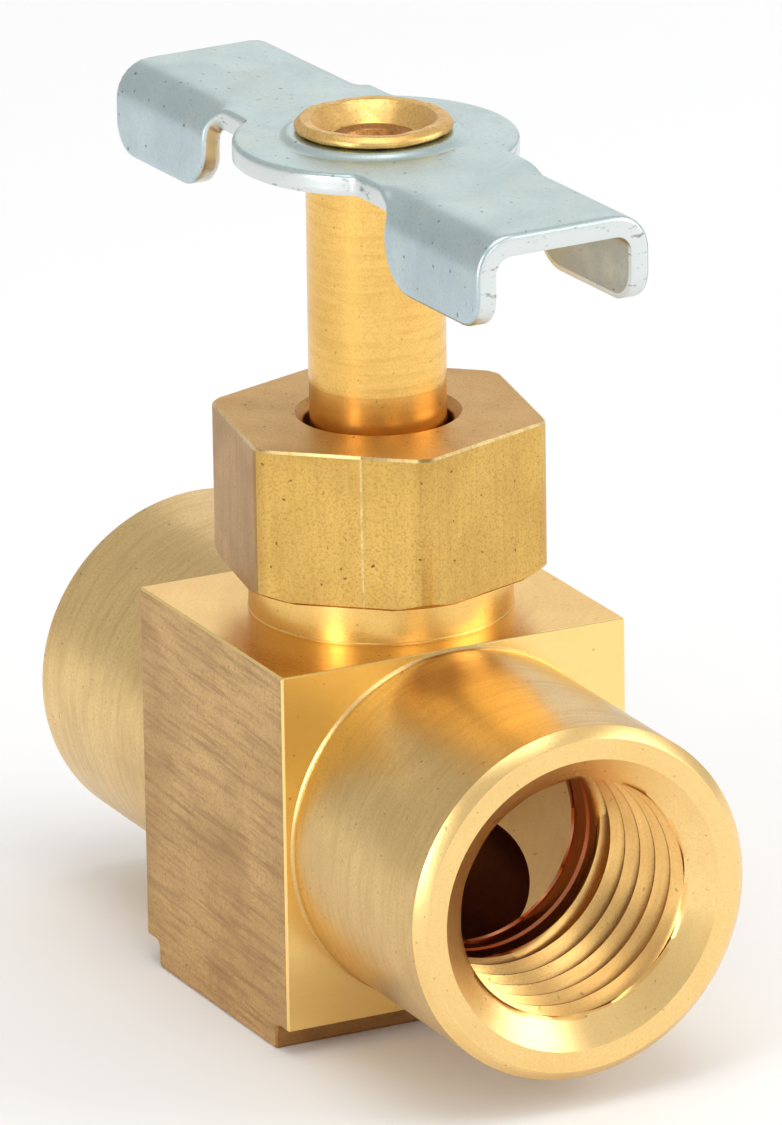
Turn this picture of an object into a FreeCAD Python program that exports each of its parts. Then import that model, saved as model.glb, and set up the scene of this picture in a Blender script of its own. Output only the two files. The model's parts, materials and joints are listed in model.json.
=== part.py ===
import FreeCAD, Part
import os
from math import cos, radians, sin, sqrt, tan

# Brass needle valve with two female pipe ports and a pressed-steel tee handle.
# Millimetres. +X runs along the ports to the outlet, +Z up the stem.
# The origin is the middle of the foot face, under the stem. The valve is shut.

V = FreeCAD.Vector
UP = V(0, 0, 1)
DRILL_SLOPE = tan(radians(31))      # cone left by a 118 degree drill point

# ---- block and port barrels
PORT_SPAN = 41.0                    # from one port face to the other
PORT_HEIGHT = 10.15                 # port axis above the foot
BLOCK_LENGTH = 15.3
BLOCK_WIDTH = 18.1
BLOCK_HEIGHT = 18.9
FOOT_STEP_HEIGHT = 1.26             # rebate along both lower edges of the block
FOOT_STEP_DEPTH = 1.30
BARREL_R = 8.62
BARREL_EDGE = 0.52                  # chamfer round each port face

# ---- quarter-inch pipe port, its thread held as a plain bore at the crests
MOUTH_R = 7.10
MOUTH_DEPTH = 1.25                  # depths below the port face
CREST_R = 5.60
CREST_END = 9.9
RUNOUT_R = 5.26
RUNOUT_END = 11.3

# ---- flow path
LOW_PASSAGE_R = 2.80                # outlet port to the underside of the seat
LOW_PASSAGE_DROP = 2.68
LOW_PASSAGE_ACROSS = 0.5            # drilled a little to one side of the port axis
HIGH_PASSAGE_R = 1.6                # inlet port to the chamber over the seat
HIGH_PASSAGE_RISE = 3.15
ORIFICE_R = 1.6
SEAT_Z = 11.3
CHAMBER_R = 3.45

# ---- neck, stem thread and packing chamber
STEM_THREAD_Z = 15.1
STEM_THREAD_R = 3.75                # pitch radius of the 5/16-32 thread
STEM_THREAD_PITCH = 25.4 / 32
TURNS_TO_OPEN = 3
PACKING_Z = 20.4
PACKING_CHAMBER_R = 4.40
NECK_SHOULDER_R = 6.30
NECK_SHOULDER_Z = 20.85
NECK_THREAD_R = 5.45                # pitch radius of the nut's thread
NECK_TOP = 25.0

# ---- packing nut
NUT_BOTTOM = 20.95
NUT_TOP = 28.47
NUT_ACROSS_FLATS = 14.29            # nine sixteenths of an inch
NUT_CORNER_ANGLE = -10.7
NUT_CORNER_ROUND = 1.1
NUT_CROWN_R = 7.9                   # radius where the top chamfer begins
NUT_FOOT_R = 7.4
NUT_CHAMFER_SLOPE = tan(radians(30))
NUT_WEB_Z = 26.3                    # underside of the nut's end wall
NUT_HOLE_R = 3.55
NUT_HOLE_EDGE = 0.42

# ---- packing
WASHER_THICKNESS = 0.8
PACKING_RINGS = 3
RING_THICKNESS = 1.0
FOLLOWER_NOSE = 0.95
FOLLOWER_FLANGE_Z = 25.35
FOLLOWER_FLANGE_R = 5.2

# ---- stem
STEM_R = 3.25
NEEDLE_HALF_ANGLE = 20.0
NEEDLE_SHANK_R = 2.3
NEEDLE_TIP_R = 0.4
STEM_COLLAR_Z = 15.2
STEM_COLLAR_LENGTH = 2.7
SPIGOT_R = 2.60                     # reduced end that passes through the handle
FLARE_R = 3.76
FLARE_TOP = 42.92
FLARE_LIP_R = 3.05                  # where the dish begins inside the rim
LIP_DROP = 0.12
DISH_R = 1.75
DISH_DEPTH = 1.15
PILOT_DEPTH = 0.25
STEM_HOLE_R = 1.15
STEM_HOLE_DEPTH = 3.2

# ---- handle
HANDLE_TOP = 42.07
HANDLE_SHEET = 1.02
HANDLE_TURN = 2.7                   # wings relative to the port axis when shut
HANDLE_OFFSET = 0.18                # the sheet sits a little towards the outlet
HANDLE_DISC_R = 6.75
HANDLE_WEB_HALF_WIDTH = 4.05
WING_HALF_WIDTH = 4.57
WING_START = 8.65
WING_END = 17.43
WING_DEPTH = 4.43
WING_BEND_R = 1.8                   # outside of the bend
WING_INNER_CORNER_R = 2.3
WING_OUTER_CORNER_R = 1.6

# ---- working clearances
SLIP = 0.05                         # radial, between the stem and what guides it
HANDLE_GAP = 0.03                   # above and below the handle's sheet
SEAT_GAP = 0.02                     # between needle and seat when shut
THREAD_GAP = 0.02                   # between nut thread and neck thread


def point(radius, height):
    return V(radius, 0, height)


def line(start, end):
    return Part.LineSegment(point(*start), point(*end)).toShape()


def arc(start, middle, end):
    return Part.Arc(point(*start), point(*middle), point(*end)).toShape()


def turned(edges):
    """Solid turned about the stem axis from a closed outline of radius and height."""
    outline = Part.Wire(edges)
    return Part.Face(outline).revolve(V(0, 0, 0), UP, 360)


def polygon(points):
    """Closed outline as edges, from radius and height pairs."""
    return [line(a, b) for a, b in zip(points, points[1:] + points[:1])]


def ring(inner_r, outer_r, bottom, top):
    return turned(polygon([(inner_r, bottom), (outer_r, bottom), (outer_r, top), (inner_r, top)]))


def rod(radius, bottom, top):
    return Part.makeCylinder(radius, top - bottom, V(0, 0, bottom), UP)


def port_frame(side):
    """Placement that lays a turned shape along a port, its origin on the port face."""
    turn = FreeCAD.Rotation(UP, V(-side, 0, 0))
    return FreeCAD.Placement(V(side * PORT_SPAN / 2, 0, PORT_HEIGHT), turn)


def barrel(side):
    """Outside of one port barrel, run on into the middle of the block."""
    shape = turned(polygon([(0, 0), (BARREL_R - BARREL_EDGE, 0), (BARREL_R, BARREL_EDGE),
                            (BARREL_R, PORT_SPAN / 2), (0, PORT_SPAN / 2)]))
    shape.Placement = port_frame(side)
    return shape


def port_bore(side):
    """Space inside one port: mouth chamfer, thread crests, run-out and drill point."""
    drill_tip = RUNOUT_END + RUNOUT_R * DRILL_SLOPE
    shape = turned(polygon([(0, -1), (MOUTH_R, -1), (MOUTH_R, 0), (CREST_R, MOUTH_DEPTH),
                            (CREST_R, CREST_END), (RUNOUT_R, CREST_END),
                            (RUNOUT_R, RUNOUT_END), (0, drill_tip)]))
    shape.Placement = port_frame(side)
    return shape


def passage(side, across, height, radius):
    """Drilled way from one port's end wall to just past the stem axis."""
    length = PORT_SPAN / 2 - RUNOUT_END + ORIFICE_R
    start = V(-side * ORIFICE_R, across, height)
    straight = Part.makeCylinder(radius, length, start, V(side, 0, 0))
    end = Part.makeSphere(radius, start)
    return straight.fuse(end)


def stem_bore():
    """Space turned down the neck: packing chamber, thread, chamber and orifice."""
    floor_edge = SEAT_Z + (CHAMBER_R - ORIFICE_R) * DRILL_SLOPE
    low_axis = PORT_HEIGHT - LOW_PASSAGE_DROP
    return turned(polygon([(0, low_axis), (ORIFICE_R, low_axis), (ORIFICE_R, SEAT_Z),
                           (CHAMBER_R, floor_edge), (CHAMBER_R, STEM_THREAD_Z),
                           (STEM_THREAD_R, STEM_THREAD_Z), (STEM_THREAD_R, PACKING_Z),
                           (PACKING_CHAMBER_R, PACKING_Z),
                           (PACKING_CHAMBER_R, NECK_TOP + 1), (0, NECK_TOP + 1)]))


def neck():
    """Bonnet neck: a plain collar up to its shoulder, the nut's thread above."""
    base = BLOCK_HEIGHT - 1
    return turned(polygon([(0, base), (NECK_SHOULDER_R, base), (NECK_SHOULDER_R, NECK_SHOULDER_Z),
                           (NECK_THREAD_R, NECK_SHOULDER_Z), (NECK_THREAD_R, NECK_TOP),
                           (0, NECK_TOP)]))


def valve_body():
    block = Part.makeBox(BLOCK_LENGTH, BLOCK_WIDTH, BLOCK_HEIGHT,
                         V(-BLOCK_LENGTH / 2, -BLOCK_WIDTH / 2, 0))
    for side in (-1, 1):
        low_x = BLOCK_LENGTH / 2 - FOOT_STEP_DEPTH if side > 0 else -BLOCK_LENGTH / 2
        step = Part.makeBox(FOOT_STEP_DEPTH, BLOCK_WIDTH, FOOT_STEP_HEIGHT,
                            V(low_x, -BLOCK_WIDTH / 2, 0))
        block = block.cut(step)
    body = block.fuse([neck(), barrel(1), barrel(-1)])
    body = body.cut([port_bore(1), port_bore(-1), stem_bore(),
                     passage(1, LOW_PASSAGE_ACROSS, PORT_HEIGHT - LOW_PASSAGE_DROP, LOW_PASSAGE_R),
                     passage(-1, 0, PORT_HEIGHT + HIGH_PASSAGE_RISE, HIGH_PASSAGE_R)])
    return body.removeSplitter()


def needle_stem():
    """Stem turned in one piece: needle, threaded collar, shank and flared end."""
    slope = tan(radians(NEEDLE_HALF_ANGLE))
    seat_r = ORIFICE_R - SEAT_GAP / cos(radians(NEEDLE_HALF_ANGLE))
    tip_z = SEAT_Z - (seat_r - NEEDLE_TIP_R) / slope
    shank_z = SEAT_Z + (NEEDLE_SHANK_R - seat_r) / slope
    collar_r = STEM_THREAD_R - SLIP
    collar_top = STEM_COLLAR_Z + STEM_COLLAR_LENGTH
    shoulder = HANDLE_TOP - HANDLE_SHEET - HANDLE_GAP
    flare_z = HANDLE_TOP + HANDLE_GAP
    rim_z = (flare_z + FLARE_TOP) / 2
    rim_r = FLARE_R - (FLARE_TOP - flare_z) / 2
    dish_z = FLARE_TOP - DISH_DEPTH
    pilot_z = dish_z - PILOT_DEPTH
    hole_z = FLARE_TOP - STEM_HOLE_DEPTH
    edges = [line((0, tip_z), (NEEDLE_TIP_R, tip_z)),
             line((NEEDLE_TIP_R, tip_z), (NEEDLE_SHANK_R, shank_z)),
             line((NEEDLE_SHANK_R, shank_z), (NEEDLE_SHANK_R, STEM_COLLAR_Z)),
             line((NEEDLE_SHANK_R, STEM_COLLAR_Z), (collar_r, STEM_COLLAR_Z)),
             line((collar_r, STEM_COLLAR_Z), (collar_r, collar_top)),
             line((collar_r, collar_top), (STEM_R, collar_top)),
             line((STEM_R, collar_top), (STEM_R, shoulder)),
             line((STEM_R, shoulder), (SPIGOT_R, shoulder)),
             line((SPIGOT_R, shoulder), (SPIGOT_R, flare_z)),
             line((SPIGOT_R, flare_z), (rim_r, flare_z)),
             arc((rim_r, flare_z), (FLARE_R, rim_z), (rim_r, FLARE_TOP)),
             line((rim_r, FLARE_TOP), (FLARE_LIP_R, FLARE_TOP - LIP_DROP)),
             line((FLARE_LIP_R, FLARE_TOP - LIP_DROP), (DISH_R, dish_z)),
             line((DISH_R, dish_z), (STEM_HOLE_R, pilot_z)),
             line((STEM_HOLE_R, pilot_z), (STEM_HOLE_R, hole_z)),
             line((STEM_HOLE_R, hole_z), (0, hole_z)),
             line((0, hole_z), (0, tip_z))]
    return turned(edges)


def hexagon(across_flats, bottom, top):
    corner_r = across_flats / sqrt(3)
    corners = []
    for index in range(7):
        angle = radians(NUT_CORNER_ANGLE + 60 * index)
        corners.append(V(corner_r * cos(angle), corner_r * sin(angle), bottom))
    return Part.Face(Part.makePolygon(corners)).extrude(V(0, 0, top - bottom))


def packing_nut():
    """Hexagonal cap nut with rounded corners, a crowned top and a threaded skirt."""
    blank = hexagon(NUT_ACROSS_FLATS, NUT_BOTTOM, NUT_TOP)
    uprights = [edge for edge in blank.Edges if abs(edge.tangentAt(edge.FirstParameter).z) > 0.9]
    blank = blank.makeFillet(NUT_CORNER_ROUND, uprights)
    reach = NUT_ACROSS_FLATS / sqrt(3)
    crown_drop = (reach - NUT_CROWN_R) * NUT_CHAMFER_SLOPE
    foot_rise = (reach - NUT_FOOT_R) * NUT_CHAMFER_SLOPE
    envelope = turned(polygon([(0, NUT_BOTTOM), (NUT_FOOT_R, NUT_BOTTOM),
                               (reach, NUT_BOTTOM + foot_rise), (reach, NUT_TOP - crown_drop),
                               (NUT_CROWN_R, NUT_TOP), (0, NUT_TOP)]))
    nut = blank.common(envelope)
    thread_r = NECK_THREAD_R + THREAD_GAP
    bore = turned(polygon([(0, NUT_BOTTOM - 1), (thread_r, NUT_BOTTOM - 1),
                           (thread_r, NUT_WEB_Z), (NUT_HOLE_R, NUT_WEB_Z),
                           (NUT_HOLE_R, NUT_TOP - NUT_HOLE_EDGE),
                           (NUT_HOLE_R + NUT_HOLE_EDGE, NUT_TOP),
                           (NUT_HOLE_R + NUT_HOLE_EDGE, NUT_TOP + 1), (0, NUT_TOP + 1)]))
    return nut.cut(bore)


def packing_washer():
    return ring(STEM_R + SLIP, PACKING_CHAMBER_R, PACKING_Z, PACKING_Z + WASHER_THICKNESS)


def packing_ring(index):
    bottom = PACKING_Z + WASHER_THICKNESS + index * RING_THICKNESS
    return ring(STEM_R + SLIP, PACKING_CHAMBER_R, bottom, bottom + RING_THICKNESS)


def gland_follower():
    """Flanged bush that the nut presses down on the packing."""
    nose_r = PACKING_CHAMBER_R - THREAD_GAP
    nose_z = PACKING_Z + WASHER_THICKNESS + PACKING_RINGS * RING_THICKNESS
    return turned(polygon([(STEM_R + SLIP, nose_z), (nose_r, nose_z),
                           (nose_r, FOLLOWER_FLANGE_Z), (FOLLOWER_FLANGE_R, FOLLOWER_FLANGE_Z),
                           (FOLLOWER_FLANGE_R, NUT_WEB_Z), (STEM_R + SLIP, NUT_WEB_Z)]))


def wing():
    """The outlet wing: a channel bent down from the sheet, its flanges rounded."""
    length = WING_END - WING_START
    bottom = HANDLE_TOP - WING_DEPTH
    outer = Part.makeBox(length, 2 * WING_HALF_WIDTH, WING_DEPTH,
                         V(WING_START, -WING_HALF_WIDTH, bottom))
    side = outer.copy()
    outer = outer.makeFillet(WING_BEND_R, long_edges_at(outer, HANDLE_TOP))
    inner_half = WING_HALF_WIDTH - HANDLE_SHEET
    inner_top = HANDLE_TOP - HANDLE_SHEET
    inner = Part.makeBox(length, 2 * inner_half, WING_DEPTH - HANDLE_SHEET,
                         V(WING_START, -inner_half, bottom))
    inner = inner.makeFillet(WING_BEND_R - HANDLE_SHEET, long_edges_at(inner, inner_top))
    side = side.makeFillet(WING_INNER_CORNER_R, cross_edges_at(side, WING_START, bottom))
    side = side.makeFillet(WING_OUTER_CORNER_R, cross_edges_at(side, WING_END, bottom))
    return outer.cut(inner).common(side)


def long_edges_at(solid, height):
    """Edges along X at one height."""
    return [edge for edge in solid.Edges
            if abs(edge.tangentAt(edge.FirstParameter).x) > 0.9
            and abs(edge.CenterOfMass.z - height) < 1e-6]


def cross_edges_at(solid, x, height):
    """Edges along Y at one place along the wing."""
    return [edge for edge in solid.Edges
            if abs(edge.tangentAt(edge.FirstParameter).y) > 0.9
            and abs(edge.CenterOfMass.x - x) < 1e-6
            and abs(edge.CenterOfMass.z - height) < 1e-6]


def tee_handle():
    """Pressed sheet: a round middle with a flanged wing on each side."""
    under = HANDLE_TOP - HANDLE_SHEET
    disc = rod(HANDLE_DISC_R, under, HANDLE_TOP)
    web = Part.makeBox(2 * WING_START, 2 * HANDLE_WEB_HALF_WIDTH, HANDLE_SHEET,
                       V(-WING_START, -HANDLE_WEB_HALF_WIDTH, under))
    outlet_wing = wing()
    inlet_wing = outlet_wing.copy()
    inlet_wing.rotate(V(0, 0, 0), UP, 180)
    sheet = disc.fuse([web, outlet_wing, inlet_wing])
    sheet.translate(V(HANDLE_OFFSET, 0, 0))
    sheet.rotate(V(0, 0, 0), UP, HANDLE_TURN)
    return sheet.cut(rod(SPIGOT_R + SLIP, under - 1, HANDLE_TOP + 1)).removeSplitter()


def nodes():
    """Every piece by name."""
    pieces = {
        "valve_body": valve_body(),
        "packing_washer": packing_washer(),
        "gland_follower": gland_follower(),
        "packing_nut": packing_nut(),
        "needle_stem": needle_stem(),
        "tee_handle": tee_handle(),
    }
    for index in range(PACKING_RINGS):
        pieces["packing_ring_%d" % (index + 1)] = packing_ring(index)
    return pieces


os.makedirs("parts", exist_ok=True)
for name, shape in nodes().items():
    assert shape.isValid(), name
    print("%-16s solids %d  volume %8.2f" % (name, len(shape.Solids), shape.Volume))
    shape.exportStep("parts/%s.step" % name)
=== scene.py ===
import json
from math import atan2, ceil, cos, degrees, exp, pi, radians, sin, sqrt, tan

import bmesh
import bpy
import numpy as np
from mathutils import Matrix, Vector, geometry, noise


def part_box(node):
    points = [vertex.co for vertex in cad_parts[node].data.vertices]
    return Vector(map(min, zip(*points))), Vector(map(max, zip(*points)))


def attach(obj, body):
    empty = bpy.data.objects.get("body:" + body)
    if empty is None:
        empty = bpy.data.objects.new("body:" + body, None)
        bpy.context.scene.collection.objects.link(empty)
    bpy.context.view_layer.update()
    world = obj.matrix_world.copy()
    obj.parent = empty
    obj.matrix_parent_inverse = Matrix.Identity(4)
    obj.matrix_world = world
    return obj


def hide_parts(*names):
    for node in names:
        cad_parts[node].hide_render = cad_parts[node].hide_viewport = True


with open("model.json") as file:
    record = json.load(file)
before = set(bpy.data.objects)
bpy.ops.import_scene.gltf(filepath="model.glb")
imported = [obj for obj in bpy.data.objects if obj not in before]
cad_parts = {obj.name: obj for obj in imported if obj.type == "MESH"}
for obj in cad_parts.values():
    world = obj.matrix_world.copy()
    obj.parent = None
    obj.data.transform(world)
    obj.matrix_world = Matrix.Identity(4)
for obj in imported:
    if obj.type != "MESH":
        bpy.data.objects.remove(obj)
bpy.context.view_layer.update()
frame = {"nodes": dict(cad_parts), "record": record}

# Needle valve. Shapes are written in millimetres and made into metres by MM.
# +X runs along the ports to the outlet, +Z up the stem.

MM = 0.001
MERGE = 1e-7                        # points closer than this, in metres, are one point
ROUND = 192                         # facets round a turned surface
BORE_ROUND = 96                     # facets round a way inside the body
OVERLAP = 1.0                       # how far a shape reaches into the one it is joined to or cuts
NEAR = 0.01                         # tolerance of a face's place, for its finish
CORNER_R = 0.12                     # rounding of a corner that states none
CORNER_SHARE = 0.45                 # most of a run that a rounding may take
NEARLY_STRAIGHT = radians(89)       # half a corner's angle over which it isn't rounded


def box_mm(node):
    low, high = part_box(node)
    return low / MM, high / MM


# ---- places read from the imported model, in millimetres
mounts = {mount["name"]: mount for mount in frame["record"]["mounts"]}
body_high = box_mm("valve_body")[1]
nut_low, nut_high = box_mm("packing_nut")
stem_low, stem_high = box_mm("needle_stem")
PORT_FACE = body_high.x
PORT_Z = mounts["outlet_port"]["pos_m"][2] / MM
HALF_WIDTH = body_high.y
HANDLE_TOP = box_mm("tee_handle")[1].z

# ---- block and barrels
HALF_LENGTH = 7.65
BLOCK_TOP = 18.9
STEP_HEIGHT = 1.26
STEP_DEPTH = 1.30
BLOCK_EDGE = 0.10
STEP_EDGE = 0.12
STEP_CORNER_R = 0.45
FOOT_EDGE = 0.20
BARREL_R = 8.62
ROOT_RISE = 0.16                    # small fillet where a barrel meets the block
ROOT_LENGTH = 0.14
ROOT_R = 0.2
ROOT_SINK = 0.03                    # how far the fillet goes into the block
FACE_EDGE = 0.52                    # chamfer round each port face
FACE_EDGE_R = 0.06
MOUTH_R = 7.10
MOUTH_SLOPE = 1.2                   # how fast the mouth's chamfer narrows with depth
MOUTH_DEPTH = 1.0                   # how deep its brighter finish goes
CORE_R = 8.20                       # stub of the block that closes each barrel
CORE_LAP = 0.2                      # how far the stub reaches into the barrel's wall
CORE_TAPER = 0.4                    # length of the barrel's hidden end, inside the block

# ---- quarter-inch taper pipe thread, in depths below the port face
THREAD_PITCH = 25.4 / 18
THREAD_HEIGHT = 1.10
THREAD_FLAT = 0.05                  # crest and root flats, as a share of the pitch
CREST_R = 5.75                      # at the port face
THREAD_TAPER = 1 / 32
THREAD_PHASE = 1.44                 # depth of the first crest on the +Y side
THREAD_LEAD = 3                     # turns of the helix that start outside the port face
FULL_THREAD_END = 8.6
THREAD_FADE = 0.9                   # length over which the thread then fades
THREAD_FADED = 0.86                 # share of its height that has gone by then
GROOVE_START = 0.7                  # the grooves fade in between these depths
FULL_THREAD_START = 2.3
RUNOUT_START = 9.1
RUNOUT_END = 11.3
RUNOUT_R = 5.27
DRILL_SLOPE = tan(radians(31))

# ---- ways inside
LOW_PASSAGE = (2.80, 0.5, -2.68)    # radius, then place across and above the port axis
HIGH_PASSAGE = (1.6, 0.0, 3.15)
CHAMBER_R = 3.45
ORIFICE_R = 1.6
SEAT_Z = 11.3
STEM_THREAD_Z = 15.1
STEM_THREAD_R = 3.75
PACKING_Z = 20.4
PACKING_R = 4.40

# ---- neck and nut
NECK_R = 6.30
NECK_STEP = 0.04                    # faint step that the tool left at the neck's foot
NECK_STEP_Z = (0.06, 0.10)          # its two ends, above the block
NECK_STEP_EDGE = 0.03
NECK_SHOULDER_EDGE = 0.12
NECK_END_EDGE = 0.3
NECK_SHOULDER_Z = 20.85
NECK_THREAD_R = 5.45
NECK_TOP = 25.0
NUT_ACROSS_FLATS = 14.29
NUT_CORNER_ANGLE = -10.7
NUT_CORNER_ROUND = 1.1
NUT_CROWN_R = 7.9
NUT_CROWN_DEPTH = 0.9               # how far down the crown's finish goes
NUT_FOOT_R = 7.4
NUT_SLOPE = tan(radians(30))
NUT_BEYOND = 0.5                    # how far its crown's cone goes on past both ends
NUT_HOLE_R = 3.55
NUT_HOLE_EDGE = 0.42
NUT_HOLE_FLARE = 0.3                # how much the cutter widens over the top
NUT_MOUTH = (0.4, 0.05, 0.4)        # chamfer under the nut: width, start and end above its foot
NUT_THREAD_GAP = 0.02
NUT_WEB_Z = 26.3
NUT_WEAR = 0.12                     # worn edges round the flats
DRAW_MARK = (0.94, 0.055, 0.03)     # die mark down the front flat: place, half-width, depth

# ---- stem
STEM_R = 3.25
NEEDLE_SLOPE = tan(radians(20))
NEEDLE_TIP_R = 0.4
LOW_SHANK_R = 2.3
COLLAR_LENGTH = 2.8                 # the threaded part
COLLAR_RISE = 0.1                   # its foot above the body's thread
COLLAR_GAP = 0.02
SPIGOT_R = 2.60
SHOULDER_RISE = 0.22                # chamfer under the handle
SHOULDER_GAP = 0.03
FLARE_R = 3.76
FLARE_GAP = 0.02                    # between the flare and the sheet
FLARE_RIM = (0.14, 0.36)            # heights at which the flare's side starts and ends
FLARE_DISH = [                      # radius, depth below the crest, rounding
    (3.44, 0.0, 0.22), (3.0, 0.06, 0.15), (2.62, 0.42, 0.3), (2.10, 0.95, 0.2),
    (1.62, 1.10, 0.12), (1.25, 1.7, 0.1), (1.15, 3.2, 0.1), (0, 3.7)]
DISH_R = 2.15                       # inside this radius the dish is dark
RAGGED_R = 2.6                      # and inside this one the metal starts to be torn
FLARE_OUT = (0.035, 0.2)            # how far it wanders and is torn outwards
FLARE_UP = (0.03, 0.15, 0.05)       # how far it wanders, is torn and is dented upwards
SLID_TOP = nut_high.z + 1.6         # up to here the packing has polished the shank
SLID_DEPTH = 0.02

# ---- handle sheet
SHEET = 1.02
HANDLE_HOLE_R = 2.65
HANDLE_TURN = 2.7
HANDLE_OFFSET = 0.18                # the sheet sits a little towards the outlet
DISC_R = 6.75
WEB_HALF = 4.05
WING_START = 8.65
WING_END = 17.43
WING_HALF = 4.57
BEND_R = 1.8                        # outside of the bend
WING_DEPTH = 4.43
INNER_CORNER_R = 2.3
OUTER_CORNER_R = 1.6
WEB_BLEND = 0.12                    # the middle's disc ends this far outside the web
RELIEF_R = 0.45                     # notch between the web and a wing
BOSS_R = 4.28                       # the sheet stands a little proud round the flare
BOSS_RISE = 0.22
BOSS_EDGE = (0.28, 0.22)            # where that falls away, inside and outside BOSS_R
BOSS_WANDER = 0.12                  # how unevenly it runs
BOSS_GROOVE = (0.34, 0.09, 0.03)    # groove outside it: distance from BOSS_R, half-width, depth
SHEET_SPACING = 0.32                # distance between the sheet's mesh points
BOSS_SPACING = 0.22                 # and round each ring
BOSS_RINGS = (-4, 8)                # rings of points that follow its edge and the groove
BOSS_RING_STEP = 0.08


# ---------------------------------------------------------------- mesh tools
def new_object(name, points, faces):
    """A mesh object from points in millimetres."""
    mesh = bpy.data.meshes.new(name)
    mesh.from_pydata([Vector(point) * MM for point in points], [], faces)
    mesh.validate()
    piece = bpy.data.objects.new(name, mesh)
    bpy.context.scene.collection.objects.link(piece)
    return piece


def clean(piece):
    """Joins points that coincide and turns every face outwards."""
    work = bmesh.new()
    work.from_mesh(piece.data)
    bmesh.ops.remove_doubles(work, verts=work.verts, dist=MERGE)
    bmesh.ops.dissolve_degenerate(work, edges=work.edges, dist=MERGE)
    bmesh.ops.recalc_face_normals(work, faces=work.faces)
    work.to_mesh(piece.data)
    work.free()
    return piece


def rounded(corners, steps=3):
    """Outline with each corner but the first and last rounded; one may carry its own radius."""
    points = [Vector(corners[0][:2])]
    for before, here, after in zip(corners, corners[1:], corners[2:]):
        radius = here[2] if len(here) > 2 else CORNER_R
        p, q, r = Vector(before[:2]), Vector(here[:2]), Vector(after[:2])
        back, ahead = p - q, r - q
        half = back.angle(ahead) / 2
        if radius == 0 or half > NEARLY_STRAIGHT:
            points.append(q)
            continue
        cut = min(radius / tan(half), CORNER_SHARE * back.length, CORNER_SHARE * ahead.length)
        start, end = q + back.normalized() * cut, q + ahead.normalized() * cut
        for step in range(steps + 1):
            t = step / steps
            points.append(start * (1 - t) ** 2 + q * 2 * t * (1 - t) + end * t * t)
    points.append(Vector(corners[-1][:2]))
    return points


def strip(here, there, rows):
    """Faces between two columns of points, each numbered upwards from its start."""
    return [(here + row, there + row, there + row + 1, here + row + 1) for row in range(rows - 1)]


def turned_mesh(outline, count, base=0):
    """Points and faces of an outline turned about Z; base is the first point's number."""
    points, faces = [], []
    rows = len(outline)
    for column in range(count):
        angle = 2 * pi * column / count
        points += [(r * cos(angle), r * sin(angle), z) for r, z in outline]
        faces += strip(base + column * rows, base + (column + 1) % count * rows, rows)
    return points, faces


def turned(name, outline, count=ROUND):
    """Solid turned about Z; the outline, of radius and height, starts and ends on the axis."""
    return clean(new_object(name, *turned_mesh(outline, count)))


def combine(base, others, operation):
    """Boolean of a base with other objects, which are used up."""
    for other in others:
        step = base.modifiers.new("combine", "BOOLEAN")
        step.operation = operation
        step.solver = "EXACT"
        step.object = other
    graph = bpy.context.evaluated_depsgraph_get()
    graph.update()
    made = bpy.data.meshes.new_from_object(base.evaluated_get(graph))
    base.modifiers.clear()
    base.data = made
    for other in others:
        bpy.data.objects.remove(other)
    return base


def join(pieces, name):
    """One object that holds the meshes of several."""
    work = bmesh.new()
    for piece in pieces:
        work.from_mesh(piece.data)
    mesh = bpy.data.meshes.new(name)
    work.to_mesh(mesh)
    work.free()
    for piece in pieces:
        bpy.data.objects.remove(piece)
    joined = bpy.data.objects.new(name, mesh)
    bpy.context.scene.collection.objects.link(joined)
    return joined


def crisp(piece, angle=30):
    """Smooth shading that stays sharp over edges steeper than the angle."""
    piece.data.shade_smooth()
    piece.data.set_sharp_from_angle(angle=radians(angle))
    step = piece.modifiers.new("weighted", "WEIGHTED_NORMAL")
    step.keep_sharp = True
    step.weight = 50
    return piece


def paint(piece, materials, choose):
    """Gives each face the material that choose(middle, normal) names, places in millimetres."""
    piece.data.materials.clear()
    names = list(materials)
    for name in names:
        piece.data.materials.append(materials[name])
    for face in piece.data.polygons:
        face.material_index = names.index(choose(face.center / MM, face.normal))


def smooth_step(x, low, high):
    t = min(max((x - low) / (high - low), 0), 1)
    return t * t * (3 - 2 * t)


# ---------------------------------------------------------------- valve body
def into_port(piece, side):
    """Lays a shape made along +Z, from the port face inwards, into a port."""
    turn = Vector((-side, 0, 0)).to_track_quat("Z", "Y").to_matrix().to_4x4()
    piece.data.transform(Matrix.Translation(Vector((side * PORT_FACE, 0, PORT_Z)) * MM) @ turn)
    return piece


def block():
    """Block with a rebate along both lower edges, extruded along Y."""
    a, s = HALF_LENGTH, HALF_LENGTH - STEP_DEPTH
    right = rounded([(0, BLOCK_TOP), (a, BLOCK_TOP, BLOCK_EDGE), (a, STEP_HEIGHT, STEP_EDGE),
                     (s, STEP_HEIGHT, STEP_CORNER_R), (s, 0, FOOT_EDGE), (0, 0)])
    outline = right + [Vector((-p.x, p.y)) for p in reversed(right[1:-1])]
    count = len(outline)
    middle = BLOCK_TOP / 2
    points = []
    for y, inset in ((-HALF_WIDTH, BLOCK_EDGE), (-HALF_WIDTH + BLOCK_EDGE, 0),
                     (HALF_WIDTH - BLOCK_EDGE, 0), (HALF_WIDTH, BLOCK_EDGE)):
        points += [(p.x * (1 - inset / a), y, middle + (p.y - middle) * (1 - inset / middle))
                   for p in outline]
    faces = [tuple(range(count)), tuple(reversed(range(3 * count, 4 * count)))]
    for start in range(0, 3 * count, count):
        for index in range(count):
            here, there = start + index, start + (index + 1) % count
            faces.append((here, here + count, there + count, there))
    return clean(new_object("block", points, faces))


def core(side):
    """Stub of the block that fills a barrel behind its thread."""
    end = PORT_FACE - HALF_LENGTH + OVERLAP
    outline = [(0, RUNOUT_END), (CORE_R, RUNOUT_END), (CORE_R, end), (0, end)]
    return into_port(turned("core", outline), side)


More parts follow.
